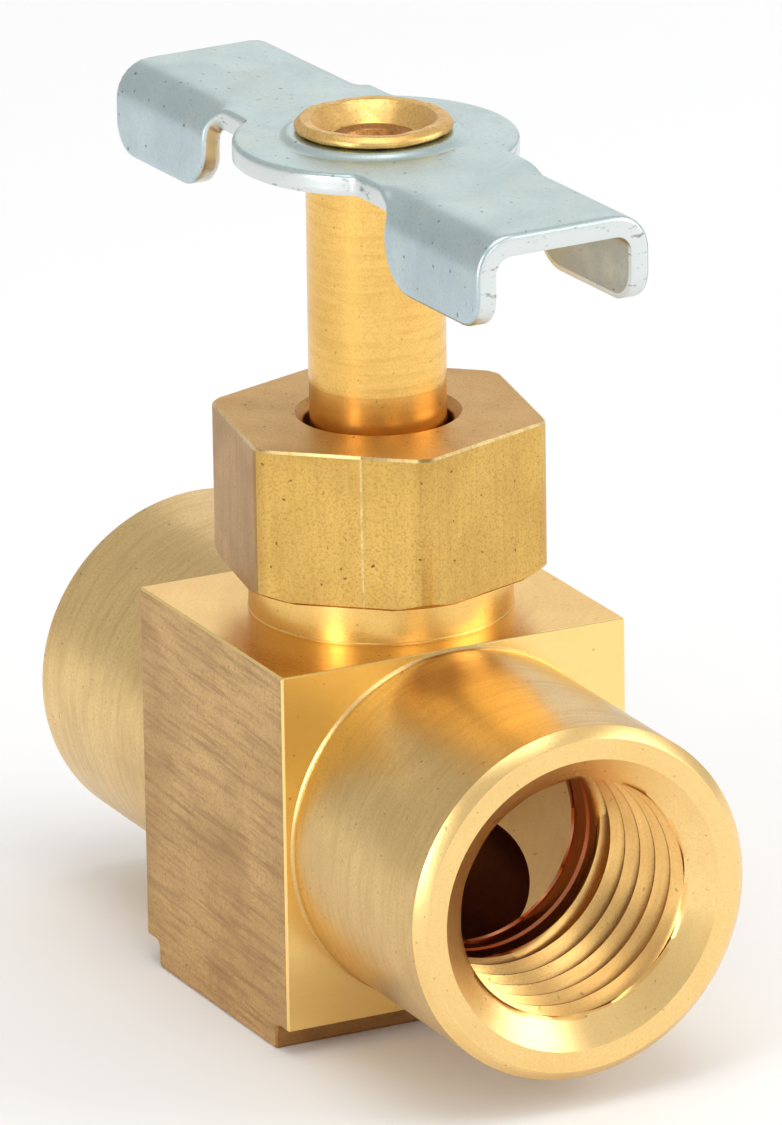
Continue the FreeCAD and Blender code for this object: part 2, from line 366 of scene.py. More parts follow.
def neck():
    """Round neck with a faint step at its foot and, over the shoulder, the nut's thread."""
    low = BLOCK_TOP - OVERLAP
    foot_r = NECK_R + NECK_STEP
    foot, above = (BLOCK_TOP + height for height in NECK_STEP_Z)
    outline = rounded([(0, low), (foot_r, low, 0), (foot_r, foot, NECK_STEP_EDGE),
                       (NECK_R, above, NECK_STEP_EDGE),
                       (NECK_R, NECK_SHOULDER_Z, NECK_SHOULDER_EDGE),
                       (NECK_THREAD_R, NECK_SHOULDER_Z, 0),
                       (NECK_THREAD_R, NECK_TOP, NECK_END_EDGE), (0, NECK_TOP)])
    return turned("neck", outline)


def drill_point(side):
    """Cone that the drill left behind the thread."""
    slope = [(RUNOUT_R * share, RUNOUT_END + RUNOUT_R * (1 - share) * DRILL_SLOPE)
             for share in (1, 0.8, 0.6, 0.4, 0.2, 0.05, 0)]
    outline = [(0, RUNOUT_END - OVERLAP), (RUNOUT_R, RUNOUT_END - OVERLAP)] + slope
    return into_port(turned("drill_point", outline), side)


def passage(side, radius, across, height):
    """Round way from a port's end wall to the chamber under or over the seat."""
    start, depth = RUNOUT_END - OVERLAP, PORT_FACE + ORIFICE_R
    outline = [(0, start), (radius, start), (radius, depth), (0, depth + radius / 2)]
    cutter = into_port(turned("passage", outline, BORE_ROUND), side)
    cutter.data.transform(Matrix.Translation(Vector((0, across, height)) * MM))
    return cutter


def stem_bore():
    """All that is bored from the top: packing chamber, thread, chamber over the seat, orifice."""
    floor_edge = SEAT_Z + (CHAMBER_R - ORIFICE_R) * DRILL_SLOPE
    low, high = PORT_Z + LOW_PASSAGE[2], NECK_TOP + OVERLAP
    outline = [(0, low), (ORIFICE_R, low), (ORIFICE_R, SEAT_Z), (CHAMBER_R, floor_edge),
               (CHAMBER_R, STEM_THREAD_Z), (STEM_THREAD_R, STEM_THREAD_Z),
               (STEM_THREAD_R, PACKING_Z), (PACKING_R, PACKING_Z), (PACKING_R, high), (0, high)]
    return turned("stem_bore", outline, BORE_ROUND)


def thread_rows():
    """One pitch as places along it, from 0 to 1, and depths of cut, from crest to root."""
    steps = 5
    flank = 0.5 - THREAD_FLAT
    down = [(THREAD_FLAT + flank * i / steps, i / steps) for i in range(steps + 1)]
    up = [(2 * THREAD_FLAT + flank * (1 + i / steps), 1 - i / steps) for i in range(steps)]
    return [(0.0, 0.0)] + down + up


def bore_radius(depth, cut):
    """Radius of the threaded bore, with its chamfered mouth and its run-out."""
    fade = min(max((depth - FULL_THREAD_END) / THREAD_FADE, 0), 1) * THREAD_FADED
    crest = CREST_R - depth * THREAD_TAPER
    share = max(0, cut - fade) * smooth_step(depth, GROOVE_START, FULL_THREAD_START)
    return max(crest + share * THREAD_HEIGHT, MOUTH_R - MOUTH_SLOPE * depth)


def barrel(side):
    """Barrel as a ring, closed all round: its outside is turned, its inside threaded."""
    root = PORT_FACE - HALF_LENGTH
    lap_r = CORE_R - CORE_LAP
    outside = rounded([(MOUTH_R, 0), (BARREL_R - FACE_EDGE, 0, FACE_EDGE_R),
                       (BARREL_R, FACE_EDGE, FACE_EDGE_R), (BARREL_R, root - ROOT_LENGTH, ROOT_R),
                       (BARREL_R + ROOT_RISE, root + ROOT_SINK, 0), (lap_r, root + CORE_TAPER, 0),
                       (lap_r, RUNOUT_END, 0), (RUNOUT_R, RUNOUT_END)])
    rows = thread_rows()
    pitch_rows = len(rows)
    pitches = int(ceil(RUNOUT_END / THREAD_PITCH)) + THREAD_LEAD
    inner = pitch_rows * pitches
    start = THREAD_PHASE - THREAD_LEAD * THREAD_PITCH
    points, faces = [], []
    for column in range(ROUND):
        turn = column / ROUND
        radial = Vector((cos(2 * pi * turn), sin(2 * pi * turn)))
        for row in range(inner):
            place, cut = rows[row % pitch_rows]
            depth = start + (row // pitch_rows + place + turn) * THREAD_PITCH
            if depth <= 0:
                depth, radius = 0, MOUTH_R
            elif depth >= RUNOUT_END:
                depth, radius = RUNOUT_END, RUNOUT_R
            else:
                radius = bore_radius(depth, cut)
            points.append((*(radial * radius), depth))
    for column in range(ROUND):
        # the last column meets the first one pitch further along the helix
        shift = pitch_rows if column == ROUND - 1 else 0
        faces += strip(column * inner, (column + 1) % ROUND * inner + shift, inner - shift)
    outer_points, outer_faces = turned_mesh(outside, ROUND, len(points))
    return into_port(clean(new_object("barrel", points + outer_points, faces + outer_faces)), side)


def valve_body():
    """Block, neck and stubs, cut by all the bores, with a barrel on each side."""
    middle = block()
    combine(middle, [neck(), core(1), core(-1)], "UNION")
    combine(middle, [stem_bore(), passage(1, *LOW_PASSAGE), passage(-1, *HIGH_PASSAGE),
                     drill_point(1), drill_point(-1)], "DIFFERENCE")
    clean(middle)
    return crisp(join([middle, barrel(1), barrel(-1)], "valve_body_brass"))


def body_surface(middle, normal):
    """Which finish a face of the body has; the foot and the passages get painted shade."""
    off_axis = sqrt(middle.y ** 2 + (middle.z - PORT_Z) ** 2)
    off_stem = sqrt(middle.x ** 2 + middle.y ** 2)
    depth = PORT_FACE - abs(middle.x)
    if abs(middle.x) > HALF_LENGTH + NEAR and off_axis > BARREL_R - NEAR:
        return "barrel"
    if depth < MOUTH_DEPTH and off_axis < BARREL_R + NEAR:
        return "mouth"
    if abs(normal.x) > 0.99 and abs(abs(middle.x) - HALF_LENGTH) < NEAR:
        return "milled"
    if abs(normal.y) > 0.9 and abs(middle.y) > HALF_WIDTH - 2 * NEAR:
        return "sawn"
    if abs(normal.z) > 0.99 and off_stem > NECK_R and abs(middle.z - BLOCK_TOP) < NEAR:
        return "top"
    # painted shade: the rebate along the foot and the underside are painted dark brown, as shade
    # falls there
    if middle.z < STEP_HEIGHT + NEAR and normal.z < 0.5:
        return "foot"
    if middle.z > BLOCK_TOP - 0.05 and off_stem < NECK_R + 1:
        return "neck"
    if off_axis < BARREL_R - 0.5 and abs(middle.y) < HALF_WIDTH - 1:
        if depth < RUNOUT_END:
            return "thread"
        # painted shade: the passages deep in the bore are painted almost black-brown
        return "cone" if abs(normal.x) > 0.6 else "passage"
    return "milled"


# ---------------------------------------------------------------- packing nut
def hexagon_outline():
    """Hexagon with rounded corners and a die mark on its front flat, counter-clockwise."""
    reach = NUT_ACROSS_FLATS / sqrt(3)
    inset = NUT_CORNER_ROUND / cos(radians(30))
    outline = []
    for side in range(6):
        corner = radians(NUT_CORNER_ANGLE + 60 * side)
        centre = Vector((cos(corner), sin(corner))) * (reach - inset)
        for step in range(7):
            angle = corner + radians(-30 + 10 * step)
            outline.append(centre + Vector((cos(angle), sin(angle))) * NUT_CORNER_ROUND)
    place, half, depth = DRAW_MARK
    facing = radians(NUT_CORNER_ANGLE - 30)
    out, along = Vector((cos(facing), sin(facing))), Vector((-sin(facing), cos(facing)))
    for shift, cut in ((-half, 0), (0, depth), (half, 0)):
        outline.append(out * (NUT_ACROSS_FLATS / 2 - cut) + along * (place + shift))
    return outline


def packing_nut():
    """Worn hexagonal bar, crowned at both ends and bored."""
    bottom, top = nut_low.z, nut_high.z
    outline = hexagon_outline()
    count = len(outline)
    points = []
    for z, worn in ((bottom, NUT_WEAR), (bottom + NUT_WEAR, 0),
                    (top - NUT_WEAR, 0), (top, NUT_WEAR)):
        points += [(*(p * (1 - 2 * worn / NUT_ACROSS_FLATS)), z) for p in outline]
    faces = [tuple(reversed(range(count))), tuple(range(3 * count, 4 * count))]
    for start in range(0, 3 * count, count):
        for index in range(count):
            here, there = start + index, start + (index + 1) % count
            faces.append((here, there, there + count, here + count))
    nut = clean(new_object("packing_nut_brass", points, faces))
    reach = NUT_ACROSS_FLATS / sqrt(3)
    crown = (reach - NUT_CROWN_R) * NUT_SLOPE
    foot = (reach - NUT_FOOT_R) * NUT_SLOPE
    narrower = NUT_BEYOND / NUT_SLOPE
    envelope = [(0, bottom - NUT_BEYOND), (NUT_FOOT_R - narrower, bottom - NUT_BEYOND),
                (reach, bottom + foot), (reach, top - crown),
                (NUT_CROWN_R - narrower, top + NUT_BEYOND), (0, top + NUT_BEYOND)]
    combine(nut, [turned("envelope", envelope)], "INTERSECT")
    low, high = bottom - OVERLAP, top + OVERLAP
    widening, mouth_start, mouth_end = NUT_MOUTH
    mouth_r, thread_r = NECK_THREAD_R + widening, NECK_THREAD_R + NUT_THREAD_GAP
    edge_r = NUT_HOLE_R + NUT_HOLE_EDGE
    bore = [(0, low), (mouth_r, low, 0), (mouth_r, bottom + mouth_start, 0),
            (thread_r, bottom + mouth_end, 0), (thread_r, NUT_WEB_Z, 0),
            (NUT_HOLE_R, NUT_WEB_Z, 0), (NUT_HOLE_R, top - NUT_HOLE_EDGE, 0.25),
            (edge_r, top, 0.1), (edge_r + NUT_HOLE_FLARE, high, 0), (0, high)]
    combine(nut, [turned("bore", rounded(bore))], "DIFFERENCE")
    return crisp(nut, 25)


def nut_surface(middle, normal):
    """Which finish a face of the nut has; its left flat gets painted shade."""
    under_top = nut_high.z - middle.z
    if 0.6 < normal.z < 0.8 and under_top < NUT_WEAR and 6.6 < middle.xy.length < 8.4:
        return "nut_edge"
    if normal.z > 0.4 and under_top < NUT_CROWN_DEPTH:
        return "nut_end"
    front, left = radians(NUT_CORNER_ANGLE - 30), radians(NUT_CORNER_ANGLE - 90)
    # painted shade: the flat that faces left gets a darker copy of the nut's brass
    if normal.x * cos(left) + normal.y * sin(left) > 0.95:
        return "nut_shaded_side"
    along = middle.y * cos(front) - middle.x * sin(front)
    if middle.x > 0 > middle.y and abs(along - DRAW_MARK[0]) < DRAW_MARK[1]:
        return "nut_edge"
    return "nut_side"


# ---------------------------------------------------------------- needle stem
def needle_stem():
    """Needle, threaded collar, shank, and a spigot flared over the handle."""
    tip = stem_low.z
    cone_top = tip + (LOW_SHANK_R - NEEDLE_TIP_R) / NEEDLE_SLOPE
    collar_r = STEM_THREAD_R - COLLAR_GAP
    collar_foot, collar_top = STEM_THREAD_Z + COLLAR_RISE, STEM_THREAD_Z + COLLAR_LENGTH
    under = HANDLE_TOP - SHEET
    foot = HANDLE_TOP + BOSS_RISE + FLARE_GAP
    rim_start, rim_end = (foot + height for height in FLARE_RIM)
    outline = [
        (0, tip), (NEEDLE_TIP_R, tip, 0.1), (LOW_SHANK_R, cone_top, 0.1),
        (LOW_SHANK_R, collar_foot, 0), (collar_r, collar_foot, 0.1),
        (collar_r, collar_top, 0.1), (STEM_R, collar_top, 0.1),
        (STEM_R, SLID_TOP, 0), (STEM_R + SLID_DEPTH, SLID_TOP + 0.05, 0),
        (STEM_R, under - 0.25, 0.1), (STEM_R - SHOULDER_RISE, under - SHOULDER_GAP, 0.05),
        (SPIGOT_R, under - SHOULDER_GAP, 0), (SPIGOT_R, foot, 0.05),
        (FLARE_R - 0.30, foot, 0.2), (FLARE_R, rim_start, 0.2), (FLARE_R - 0.02, rim_end, 0.25)]
    outline += [(radius, stem_high.z - fall, *rounding) for radius, fall, *rounding in FLARE_DISH]
    stem = turned("needle_stem_brass", rounded(outline, steps=4))
    for point in stem.data.vertices:
        place = point.co / MM
        if place.z < HANDLE_TOP + FLARE_GAP:
            continue
        radius = Vector(place[:2]).length
        around = Vector((place.x, place.y, 0)).normalized() if radius > 0.01 else Vector((0, 0, 0))
        wander = noise.noise(around * 1.6 + Vector((0, 0, 7)))
        ragged = noise.noise(place * 3.1) * smooth_step(RAGGED_R - radius, 0, 0.7)
        dents = noise.noise(place * 1.3)
        out = FLARE_OUT[0] * wander + FLARE_OUT[1] * ragged
        place += around * out * smooth_step(radius, 0.9, 1.4)
        place.z += FLARE_UP[0] * wander + FLARE_UP[1] * ragged + FLARE_UP[2] * dents
        place.z = min(place.z, stem_high.z)
        point.co = place * MM
    return crisp(stem, 35)


def stem_surface(middle, _):
    """Which finish a face of the stem has."""
    if middle.z < SLID_TOP:
        return "slid"
    radius = sqrt(middle.x ** 2 + middle.y ** 2)
    if middle.z < HANDLE_TOP and radius > 2:
        return "turned"
    return "flared" if radius > DISH_R else "dish"


# ---------------------------------------------------------------- tee handle
NEUTRAL_R = BEND_R - SHEET / 2
BEND_START = WING_HALF - BEND_R     # half-width of the wing's flat top
BEND_LENGTH = NEUTRAL_R * pi / 2
FLANGE_REACH = BEND_START + BEND_LENGTH + WING_DEPTH - BEND_R
RAMP_START = WING_START - 1.3       # the bend fades out towards the middle
RAMP_END = WING_START + 0.15
HOLE_CENTRE = Vector((-HANDLE_OFFSET, 0))
TOP_EDGE = 0.26                     # rolled edge left by the punch
ROLLED_ROWS = 4                     # rows of faces round it
LOW_EDGE = 0.06


def bent(u, s, w):
    """Place in space of a point of the flat sheet: along, across, and height over its top."""
    fold = smooth_step(abs(u), RAMP_START, RAMP_END)
    side = 1 if s >= 0 else -1
    beyond = abs(s) - BEND_START
    if beyond <= 0 or fold == 0:
        return Vector((u, s, w))
    curve = fold / NEUTRAL_R
    angle = curve * min(beyond, BEND_LENGTH)
    straight = max(beyond - BEND_LENGTH, 0)
    across = BEND_START + sin(angle) / curve + straight * cos(angle)
    fall = (1 - cos(angle)) / curve + straight * sin(angle)
    lift = w + SHEET / 2
    return Vector((u, side * (across + lift * sin(angle)), -SHEET / 2 - fall + lift * cos(angle)))


def arc_points(centre, radius, start, end, spacing):
    """Points along an arc, both ends included; angles in degrees."""
    steps = max(2, int(ceil(abs(radians(end - start)) * radius / spacing)))
    angles = [radians(start + (end - start) * i / steps) for i in range(steps + 1)]
    return [Vector((centre[0] + radius * cos(a), centre[1] + radius * sin(a))) for a in angles]


def straight_points(start, end, spacing):
    """Points along a straight run, without its ends."""
    a, b = Vector(start), Vector(end)
    steps = max(1, int(ceil((b - a).length / spacing)))
    return [a.lerp(b, i / steps) for i in range(1, steps)]


def blank_outline(spacing):
    """Outline of the flat blank, counter-clockwise."""
    meet = sqrt(DISC_R ** 2 - WEB_HALF ** 2)
    low = FLANGE_REACH
    quarter = arc_points((0, 0), DISC_R, 90, degrees(atan2(WEB_HALF + WEB_BLEND, meet)), spacing)
    quarter += straight_points((meet, WEB_HALF), (WING_START - RELIEF_R, WEB_HALF), spacing)
    quarter += arc_points((WING_START - RELIEF_R, WEB_HALF + RELIEF_R),
                          RELIEF_R, -90, 0, spacing / 2)
    quarter += straight_points((WING_START, WEB_HALF + RELIEF_R),
                               (WING_START, low - INNER_CORNER_R), spacing)
    quarter += arc_points((WING_START + INNER_CORNER_R, low - INNER_CORNER_R),
                          INNER_CORNER_R, 180, 90, spacing)
    quarter += straight_points((WING_START + INNER_CORNER_R, low),
                               (WING_END - OUTER_CORNER_R, low), spacing)
    quarter += arc_points((WING_END - OUTER_CORNER_R, low - OUTER_CORNER_R),
                          OUTER_CORNER_R, 90, 0, spacing)
    quarter += straight_points((WING_END, low - OUTER_CORNER_R), (WING_END, 0), spacing)
    quarter.append(Vector((WING_END, 0)))
    half = quarter + [Vector((p.x, -p.y)) for p in reversed(quarter[:-1])]
    loop = half + [-p for p in half[1:-1]]
    loop.reverse()
    return loop


def outward(loop):
    """Unit normals of a counter-clockwise loop, pointing away from the sheet."""
    normals = []
    for index, point in enumerate(loop):
        before, after = loop[index - 1], loop[(index + 1) % len(loop)]
        along = ((point - before).normalized() + (after - point).normalized()).normalized()
        normals.append(Vector((along.y, -along.x)))
    return normals


def rim_rows():
    """Inset and height of each row down a cut edge, from the top face to the underside."""
    rows = []
    for step in range(ROLLED_ROWS + 1):
        angle = radians(90 / ROLLED_ROWS * step)
        rows.append((TOP_EDGE * (1 - sin(angle)), -TOP_EDGE * (1 - cos(angle))))
    rows += [(0, -SHEET * share) for share in (0.45, 0.7)]
    rows += [(0, LOW_EDGE - SHEET), (0.3 * LOW_EDGE, 0.3 * LOW_EDGE - SHEET), (LOW_EDGE, -SHEET)]
    return rows


def inside(loop, x, y):
    """Whether a place lies inside a closed loop."""
    hit = False
    for index, b in enumerate(loop):
        a = loop[index - 1]
        if (a.y > y) != (b.y > y) and x < a.x + (y - a.y) / (b.y - a.y) * (b.x - a.x):
            hit = not hit
    return hit


def filling(loops, rings, spacing):
    """Evenly spread points inside the first loop and outside the others, and the rings."""
    outer = loops[0]
    fixed = np.array([[p.x, p.y] for loop in loops + [rings] for p in loop])
    low_x, high_x = min(p.x for p in outer), max(p.x for p in outer)
    low_y, high_y = min(p.y for p in outer), max(p.y for p in outer)
    found = list(rings)
    rise = spacing * sqrt(3) / 2
    for row in range(int((high_y - low_y) / rise) + 1):
        y = low_y + row * rise
        shift = spacing / 2 * (row % 2)
        for column in range(int((high_x - low_x) / spacing) + 1):
            x = low_x + column * spacing + shift
            if np.min(np.hypot(fixed[:, 0] - x, fixed[:, 1] - y)) < 0.6 * spacing:
                continue
            if inside(outer, x, y) and not any(inside(loop, x, y) for loop in loops[1:]):
                found.append(Vector((x, y)))
    return found


def boss(point):
    """Height of the top face round the flare, where the flaring tool has raised it."""
    reach = (point - HOLE_CENTRE).length
    wander = BOSS_WANDER * noise.noise(Vector((point.x, point.y, 3)) * 0.35)
    distance, half_width, depth = BOSS_GROOVE
    groove = (reach - BOSS_R - distance - wander) / half_width
    inner, outer = BOSS_EDGE
    fall = smooth_step(reach, BOSS_R - inner + wander, BOSS_R + outer + wander)
    return BOSS_RISE * (1 - fall) - depth * exp(-groove * groove)


def tee_handle():
    """Sheet with its faces numbered by finish: 0 top, 1 cut edge, 2 underside."""
    outer = blank_outline(SHEET_SPACING)
    hole = arc_points(HOLE_CENTRE, HANDLE_HOLE_R, 0, 360, SHEET_SPACING)[:-1]
    loops = [outer, hole]
    sides = [outward(outer), [-n for n in outward(hole)]]
    rows = rim_rows()
    inset = [[p - n * rows[0][0] for p, n in zip(loop, side)] for loop, side in zip(loops, sides)]
    pressed = []
    for step in range(*BOSS_RINGS):
        ring_r = BOSS_R + BOSS_RING_STEP * step
        pressed += arc_points(HOLE_CENTRE, ring_r, 0, 360, BOSS_SPACING)[:-1]
    plan = inset[0] + inset[1] + filling(inset, pressed, SHEET_SPACING)
    rings, start = [], 0
    for loop in inset:
        rings.append(list(range(start, start + len(loop))))
        start += len(loop)
    edges = [(ring[i - 1], ring[i]) for ring in rings for i in range(len(ring))]
    triangulation = geometry.delaunay_2d_cdt(plan, edges, [], 0, 1e-6)
    triangles, origins = triangulation[2], triangulation[3]
    keep = []
    for triangle in triangles:
        corners = [origins[i][0] for i in triangle]
        middle = sum((plan[i] for i in corners), Vector((0, 0))) / 3
        if inside(inset[0], *middle) and not inside(inset[1], *middle):
            keep.append(tuple(corners))
    points = [bent(p.x, p.y, boss(p)) for p in plan]
    under = len(points)
    points += [bent(p.x, p.y, -SHEET) for p in plan]
    faces = keep + [tuple(under + i for i in reversed(face)) for face in keep]
    skins = [0] * len(keep) + [2] * len(keep)
    for loop, side, ring in zip(loops, sides, rings):
        count = len(loop)
        above = ring
        for number, (back, height) in enumerate(rows[1:-1], 1):
            here = list(range(len(points), len(points) + count))
            points += [bent(*(p - n * back), height) for p, n in zip(loop, side)]
            faces += [(above[i], above[i - 1], here[i - 1], here[i]) for i in range(count)]
            skins += [0 if number < ROLLED_ROWS else 1] * count
            above = here
        below = [under + i for i in ring]
        faces += [(above[i], above[i - 1], below[i - 1], below[i]) for i in range(count)]
        skins += [1] * count
    piece = new_object("tee_handle_steel", points, faces)
    for name in ("top", "edge", "under"):
        piece.data.materials.append(sheet_finishes[name])
    piece.data.polygons.foreach_set("material_index", skins)
    clean(piece)
    turn = Matrix.Rotation(radians(HANDLE_TURN), 4, "Z")
    shift = Matrix.Translation(Vector((HANDLE_OFFSET, 0, 0)) * MM)
    piece.data.transform(Matrix.Translation(Vector((0, 0, HANDLE_TOP)) * MM) @ turn @ shift)
    return crisp(piece, 40)


# ---------------------------------------------------------------- materials
PIT_SHADE = 0.3                     # how dark a pit in brass is, as a share of the dark tone
GRAIN_DEPTH = 0.004
# width over which the painted shade of a port's run-out blends in
RUNOUT_SHADE_BLEND = 0.2
ZINC_WARM = (0.68, 0.70, 0.58)
ZINC_PIT = (0.16, 0.18, 0.18)
FLANGE_FALL = (0.4, 1.9)            # the sheet darkens a little between these depths
FLANGE_SHADE = (0.92, 0.91, 0.96)


def add(tree, kind, inputs=(), **settings):
    """A node with its settings; inputs pair a socket with a value or another socket."""
    made = tree.nodes.new(kind)
    for key, value in settings.items():
        setattr(made, key, value)
    for key, value in inputs:
        if isinstance(value, bpy.types.NodeSocket):
            tree.links.new(value, made.inputs[key])
        else:
            made.inputs[key].default_value = value
    return made


def new_material(name, metallic):
    material = bpy.data.materials.new(name)
    material.use_nodes = True
    tree = material.node_tree
    shader = tree.nodes["Principled BSDF"]
    shader.inputs["Metallic"].default_value = metallic
    place = add(tree, "ShaderNodeTexCoord").outputs["Object"]
    return material, tree, shader, place


def math(tree, operation, first, second=0.0):
    return add(tree, "ShaderNodeMath", ((0, first), (1, second)), operation=operation).outputs[0]


def times(tree, first, second):
    return math(tree, "MULTIPLY", first, second)


def noise_at(tree, place, scale, detail=3.0, rough=0.6, twist=0.0):
    """Noise from 0 to 1; scale is a number, or one number for each axis, per metre."""
    if isinstance(scale, tuple):
        place = add(tree, "ShaderNodeMapping", (("Vector", place), ("Scale", scale))).outputs[0]
        scale = 1.0
    inputs = (("Vector", place), ("Scale", scale), ("Detail", detail), ("Roughness", rough),
              ("Distortion", twist))
    return add(tree, "ShaderNodeTexNoise", inputs).outputs["Fac"]


def lathe_place(tree, place, axis, height):
    """Place measured along and out from a turning axis, so that lines run round it."""
    parts = add(tree, "ShaderNodeSeparateXYZ", ((0, place),))
    x, y, z = (parts.outputs[name] for name in "XYZ")
    lift = math(tree, "SUBTRACT", z, height)
    along, first, second = (x, y, lift) if axis == "X" else (z, x, y)
    out = math(tree, "SQRT", math(tree, "ADD", times(tree, first, first),
                                  times(tree, second, second)))
    around = math(tree, "ADD", first, second)
    return add(tree, "ShaderNodeCombineXYZ", ((0, along), (1, out), (2, around))).outputs[0]


def ramp(tree, value, low, high):
    """0 below low, 1 above high."""
    inputs = (("Value", value), ("From Min", low), ("From Max", high))
    return add(tree, "ShaderNodeMapRange", inputs, clamp=True).outputs[0]


def within(tree, value, span):
    """A value from 0 to 1 moved into a span."""
    inputs = (("Value", value), ("To Min", span[0]), ("To Max", span[1]))
    return add(tree, "ShaderNodeMapRange", inputs).outputs[0]


def mixed(tree, share, first, second, blend="MIX"):
    """Colour mix; first and second are colours or sockets."""
    def value(colour):
        return colour if isinstance(colour, bpy.types.NodeSocket) else (*colour, 1)
    made = add(tree, "ShaderNodeMix", ((0, share), (6, value(first)), (7, value(second))),
               data_type="RGBA", blend_type=blend)
    return made.outputs[2]


def bump(tree, height, depth, onto=None):
    """Bump of a height from 0 to 1 that stands depth millimetres high."""
    inputs = [("Height", height), ("Strength", 1.0), ("Distance", depth * MM)]
    if onto is not None:
        inputs.append(("Normal", onto))
    return add(tree, "ShaderNodeBump", inputs).outputs[0]


def brass(name, light, dark, lines, lathe=None, depth=0.002, tint=0.3, rough=(0.24, 0.34),
          grain=0.4, pits=0.5, cloud=0.5, tilt=0.0, runout_shade=None, metal=1.0):
    """Cut brass: streaks left by the tool, a fine grain, small pits and a slow change of tone.

    lines gives the streaks' scale on each axis, per metre; lathe names a turning axis.
    The colour given for the run-out behind a port's thread is painted shade, where its shallow
    grooves lie deep in the port.
    """
    material, tree, shader, place = new_material(name, metal)
    where = place
    if lathe:
        where = lathe_place(tree, place, lathe, PORT_Z * MM if lathe == "X" else 0.0)
    elif tilt:
        turn = (0, radians(tilt), 0)
        where = add(tree, "ShaderNodeMapping", (("Vector", place), ("Rotation", turn))).outputs[0]
    streak = noise_at(tree, where, lines, 3.0, 0.65)
    slow = noise_at(tree, place, 190.0, 3.0, 0.55, 0.4)
    speck = noise_at(tree, place, 7800.0, 2.0, 0.7)
    pit = ramp(tree, noise_at(tree, place, 4300.0, 0.0, 0.5), 0.80, 0.86)
    tone = mixed(tree, times(tree, ramp(tree, slow, 0.35, 0.7), cloud), light, dark)
    tone = mixed(tree, times(tree, ramp(tree, streak, 0.46, 0.74), tint), tone, dark)
    tone = mixed(tree, times(tree, ramp(tree, speck, 0.46, 0.72), grain), tone, dark)
    tone = mixed(tree, times(tree, pit, pits), tone, tuple(PIT_SHADE * c for c in dark))
    # painted shade: the thread's run-out, deep in the port, is darkened to the colour given for it
    if runout_shade:
        parts = add(tree, "ShaderNodeSeparateXYZ", ((0, place),))
        inward = math(tree, "ABSOLUTE", parts.outputs["X"])
        edge = (PORT_FACE - RUNOUT_START) * MM
        tone = mixed(tree, ramp(tree, inward, edge, edge - RUNOUT_SHADE_BLEND * MM), tone, runout_shade)
    tree.links.new(tone, shader.inputs["Base Color"])
    spread = math(tree, "ADD", times(tree, ramp(tree, streak, 0.3, 0.75), 0.5),
                  times(tree, ramp(tree, slow, 0.3, 0.7), 0.5))
    tree.links.new(within(tree, spread, rough), shader.inputs["Roughness"])
    normal = bump(tree, speck, GRAIN_DEPTH * grain, bump(tree, streak, depth))
    tree.links.new(normal, shader.inputs["Normal"])
    return material


def zinc(name, light, dark, rough=(0.30, 0.42), warm=0.3):
    """Bright zinc on pressed sheet: pale, bluish, finely mottled, with sparse dark pits."""
    material, tree, shader, place = new_material(name, 1.0)
    slow = noise_at(tree, place, 260.0, 4.0, 0.6, 0.5)
    hue = noise_at(tree, place, 420.0, 2.0, 0.6)
    speck = noise_at(tree, place, 7000.0, 3.0, 0.75)
    pit = ramp(tree, noise_at(tree, place, 3300.0, 0.0, 0.5), 0.78, 0.84)
    tone = mixed(tree, ramp(tree, slow, 0.3, 0.7), light, dark)
    tone = mixed(tree, times(tree, ramp(tree, hue, 0.5, 0.7), warm), tone, ZINC_WARM)
    tone = mixed(tree, times(tree, ramp(tree, speck, 0.5, 0.75), 0.5), tone,
                 tuple(0.7 * c for c in dark))
    tone = mixed(tree, times(tree, pit, 0.75), tone, ZINC_PIT)
    parts = add(tree, "ShaderNodeSeparateXYZ", ((0, place),))
    start, end = ((HANDLE_TOP - fall) * MM for fall in FLANGE_FALL)
    tone = mixed(tree, ramp(tree, parts.outputs["Z"], start, end), tone, FLANGE_SHADE, "MULTIPLY")
    tree.links.new(tone, shader.inputs["Base Color"])
    tree.links.new(within(tree, slow, rough), shader.inputs["Roughness"])
    tree.links.new(bump(tree, speck, 0.0012), shader.inputs["Normal"])
    return material


def cut_edge():
    """Sheared edge of the sheet: bright and burnished, torn and dark in places."""
    material, tree, shader, place = new_material("zinc_edge", 1.0)
    tear = noise_at(tree, place, (900.0, 900.0, 2600.0), 4.0, 0.75)
    dark = ramp(tree, tear, 0.58, 0.68)
    tone = mixed(tree, times(tree, dark, 0.75), (0.70, 0.74, 0.73), (0.20, 0.20, 0.18))
    tree.links.new(tone, shader.inputs["Base Color"])
    shader.inputs["Roughness"].default_value = 0.34
    tree.links.new(bump(tree, tear, 0.012), shader.inputs["Normal"])
    return material


def packing_white():
    """Pressed PTFE: white, slightly waxy, with faint mould lines."""
    material, tree, shader, place = new_material("ptfe", 0.0)
    cloud = noise_at(tree, place, 600.0, 3.0, 0.6)
    tone = mixed(tree, cloud, (0.86, 0.86, 0.84), (0.74, 0.74, 0.71))
    tree.links.new(tone, shader.inputs["Base Color"])
    shader.inputs["Roughness"].default_value = 0.45
    tree.links.new(bump(tree, cloud, 0.004), shader.inputs["Normal"])
    return material


# ---------------------------------------------------------------- camera, lights, floor
CAMERA_AZIMUTH = radians(63.478)
CAMERA_ELEVATION = radians(18.581)
CAMERA_ROLL = radians(-0.871)
CAMERA_DISTANCE = 539.8
CAMERA_RIGHT = 0.342                # sight line's offset from the point where the axes cross
CAMERA_RISE = 10.17
CAMERA_LENS = 362.1
FLOOR_HALF = 4e3


def camera_axes():
    az, el, roll = CAMERA_AZIMUTH, CAMERA_ELEVATION, CAMERA_ROLL
    back = Vector((sin(az) * cos(el), -cos(az) * cos(el), sin(el)))
    level = Vector((cos(az), sin(az), 0))
    rise = back.cross(level)
    right = level * cos(roll) + rise * sin(roll)
    up = rise * cos(roll) - level * sin(roll)
    return right, up, back


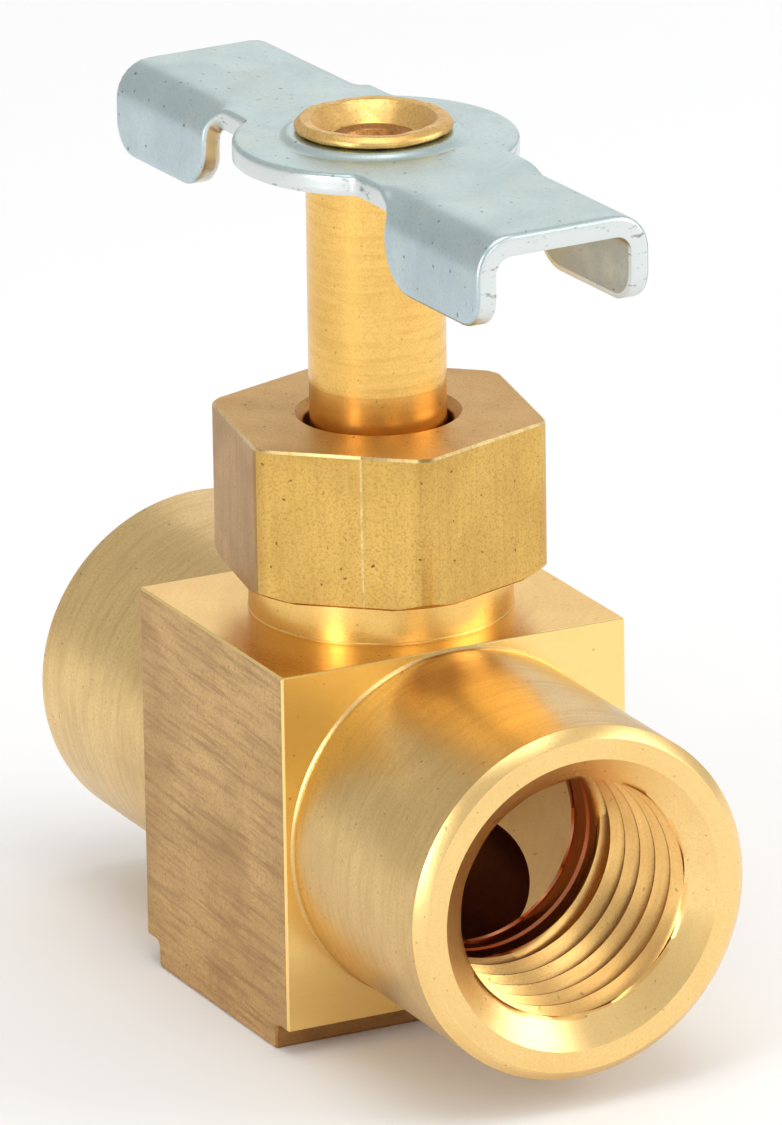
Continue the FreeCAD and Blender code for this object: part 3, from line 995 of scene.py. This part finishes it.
def make_camera():
    right, up, back = camera_axes()
    place = right * CAMERA_RIGHT + up * CAMERA_RISE + back * CAMERA_DISTANCE
    place += Vector((0, 0, PORT_Z))
    data = bpy.data.cameras.new("camera")
    data.lens = CAMERA_LENS
    data.sensor_width = 36
    data.clip_start = 0.01
    data.clip_end = 100
    camera = bpy.data.objects.new("camera", data)
    turn = Matrix((right, up, back)).transposed().to_4x4()
    camera.matrix_world = Matrix.Translation(place * MM) @ turn
    bpy.context.scene.collection.objects.link(camera)
    bpy.context.scene.camera = camera


def area_light(name, azimuth, elevation, distance, size, power):
    """Softbox aimed at the valve; azimuth is to the right of the camera, seen from above."""
    data = bpy.data.lights.new(name, "AREA")
    data.shape = "RECTANGLE"
    data.size, data.size_y = size
    data.energy = power
    light = bpy.data.objects.new(name, data)
    turn, lift = CAMERA_AZIMUTH + radians(azimuth), radians(elevation)
    towards = Vector((sin(turn) * cos(lift), -cos(turn) * cos(lift), sin(lift)))
    light.location = Vector((0, 0, 0.02)) + towards * distance
    light.rotation_euler = towards.to_track_quat("Z", "Y").to_euler()
    bpy.context.scene.collection.objects.link(light)


def studio():
    far = FLOOR_HALF
    floor = new_object("floor", [(-far, -far, 0), (far, -far, 0), (far, far, 0), (-far, far, 0)],
                       [(0, 1, 2, 3)])
    material = bpy.data.materials.new("floor")
    material.use_nodes = True
    shader = material.node_tree.nodes["Principled BSDF"]
    shader.inputs["Base Color"].default_value = (0.92, 0.92, 0.92, 1)
    shader.inputs["Roughness"].default_value = 0.9
    floor.data.materials.append(material)
    world = bpy.data.worlds.new("studio")
    world.use_nodes = True
    sky = world.node_tree.nodes["Background"]
    sky.inputs["Color"].default_value = (1, 1, 1, 1)
    sky.inputs["Strength"].default_value = 0.62
    bpy.context.scene.world = world
    area_light("strip", -40, 14, 0.6, (0.07, 0.5), 1.2)
    area_light("side", 85, 25, 0.7, (0.45, 0.45), 1.9)
    area_light("top", 10, 80, 0.8, (0.5, 0.5), 1.9)
    area_light("back", 168, 22, 1.0, (0.9, 0.6), 0.7)
    area_light("front", 27, 20, 0.8, (0.3, 0.3), 0.5)
    bpy.context.scene.view_settings.view_transform = "Standard"


# ---------------------------------------------------------------- the valve
make_camera()
studio()

finishes = {
    "barrel": brass("brass_barrel", (0.85, 0.60, 0.25), (0.58, 0.37, 0.14),
                    (3200.0, 3200.0, 260.0), "X",
                    tint=0.5, rough=(0.28, 0.40), depth=0.005, grain=0.6),
    "mouth": brass("brass_mouth", (0.95, 0.67, 0.28), (0.80, 0.51, 0.18),
                   (1500.0, 1500.0, 180.0), "X",
                   tint=0.2, rough=(0.24, 0.34), cloud=0.35, depth=0.001, grain=0.5),
    # the thread's run-out gets a dark red-brown: painted shade deep in the port
    "thread": brass("brass_thread", (0.96, 0.60, 0.21), (0.66, 0.36, 0.11),
                    (3000.0, 3000.0, 200.0), "X",
                    tint=0.35, rough=(0.22, 0.34), depth=0.001, runout_shade=(0.54, 0.20, 0.09)),
    "cone": brass("brass_cone", (1.0, 0.70, 0.27), (0.86, 0.54, 0.18),
                  (2200.0, 2200.0, 200.0), "X", rough=(0.40, 0.50), metal=0.25),
    # almost black-brown for the passages deep in the bore: painted shade
    "passage": brass("brass_passage_painted_shade", (0.44, 0.17, 0.11), (0.28, 0.10, 0.07),
                     (1800.0, 1800.0, 300.0), "X", rough=(0.4, 0.5)),
    "neck": brass("brass_neck", (0.93, 0.60, 0.19), (0.72, 0.41, 0.11),
                  (2600.0, 2600.0, 160.0), "Z",
                  tint=0.25, rough=(0.25, 0.34), cloud=0.35, depth=0.001, grain=0.5),
    "top": brass("brass_top", (0.85, 0.69, 0.41), (0.68, 0.50, 0.26), (1500.0, 1500.0, 1500.0),
                 tint=0.2, rough=(0.33, 0.41), grain=0.5, pits=0.7),
    "sawn": brass("brass_sawn", (0.69, 0.44, 0.18), (0.37, 0.21, 0.08), (230.0, 2800.0, 3200.0),
                  tint=0.85, rough=(0.38, 0.50), depth=0.012, grain=0.6, pits=0.6, tilt=-2.0),
    "milled": brass("brass_milled", (1.0, 0.72, 0.28), (0.92, 0.60, 0.20),
                    (1500.0, 200.0, 1800.0),
                    tint=0.15, rough=(0.20, 0.28), cloud=0.3, grain=0.25, depth=0.001),
    # dark brown for the rebate along the foot: painted shade
    "foot": brass("brass_foot_painted_shade", (0.50, 0.27, 0.10), (0.26, 0.13, 0.05), (1500.0, 300.0, 1500.0),
                  tint=0.5, rough=(0.40, 0.52)),
}
nut_finishes = {
    "nut_side": brass("brass_nut", (0.77, 0.49, 0.135), (0.42, 0.24, 0.06),
                      (3000.0, 3000.0, 150.0),
                      # darker copy of the nut's brass for its left flat: painted shade
                      rough=(0.30, 0.42), grain=0.7, pits=0.8, depth=0.003),
    "nut_shaded_side": brass("brass_nut_shaded_side", (0.51, 0.29, 0.085), (0.30, 0.16, 0.05),
                      (3000.0, 3000.0, 150.0),
                      tint=0.35, rough=(0.34, 0.46), grain=0.7, pits=0.8, cloud=0.7,
                      depth=0.003),
    "nut_end": brass("brass_nut_end", (0.76, 0.47, 0.16), (0.50, 0.28, 0.09),
                     (900.0, 900.0, 900.0),
                     tint=0.25, rough=(0.40, 0.50), grain=0.7, pits=0.8, cloud=0.35),
    "nut_edge": brass("brass_nut_edge", (1.0, 0.80, 0.40), (0.55, 0.33, 0.10),
                      (1300.0, 1300.0, 1300.0),
                      tint=0.6, rough=(0.26, 0.36), grain=0.6, depth=0.004),
}
stem_finishes = {
    "turned": brass("brass_stem", (0.93, 0.59, 0.17), (0.68, 0.38, 0.09), (260.0, 260.0, 3200.0),
                    tint=0.55, rough=(0.22, 0.34), depth=0.003, grain=0.6),
    "slid": brass("brass_slid", (0.85, 0.48, 0.12), (0.60, 0.29, 0.07), (260.0, 260.0, 3200.0),
                  tint=0.35, rough=(0.26, 0.36)),
    "flared": brass("brass_flared", (0.90, 0.60, 0.22), (0.62, 0.34, 0.09),
                    (1300.0, 1300.0, 2000.0),
                    tint=0.5, rough=(0.34, 0.46), grain=0.9, pits=0.6, depth=0.008),
    "dish": brass("brass_dish", (0.62, 0.30, 0.09), (0.30, 0.12, 0.04), (1700.0, 1700.0, 900.0),
                  tint=0.8, rough=(0.38, 0.50), grain=0.9, depth=0.012),
}
sheet_finishes = {
    "top": zinc("zinc", (0.60, 0.72, 0.71), (0.50, 0.61, 0.61)),
    "edge": cut_edge(),
    "under": zinc("zinc_under", (0.53, 0.54, 0.42), (0.46, 0.50, 0.46), (0.38, 0.5), 0.5),
}
white = packing_white()
for name, node in frame["nodes"].items():
    finish = white if name.startswith("packing_ring") else stem_finishes["turned"]
    node.data.materials.clear()
    node.data.materials.append(finish)
    node.data.shade_smooth()
    node.data.set_sharp_from_angle(angle=radians(30))

body = valve_body()
paint(body, finishes, body_surface)
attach(body, "valve")
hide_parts("valve_body")

nut = packing_nut()
paint(nut, nut_finishes, nut_surface)
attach(nut, "valve")
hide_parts("packing_nut")

stem = needle_stem()
paint(stem, stem_finishes, stem_surface)
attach(stem, "stem")
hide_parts("needle_stem")

handle = tee_handle()
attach(handle, "handle")
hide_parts("tee_handle")
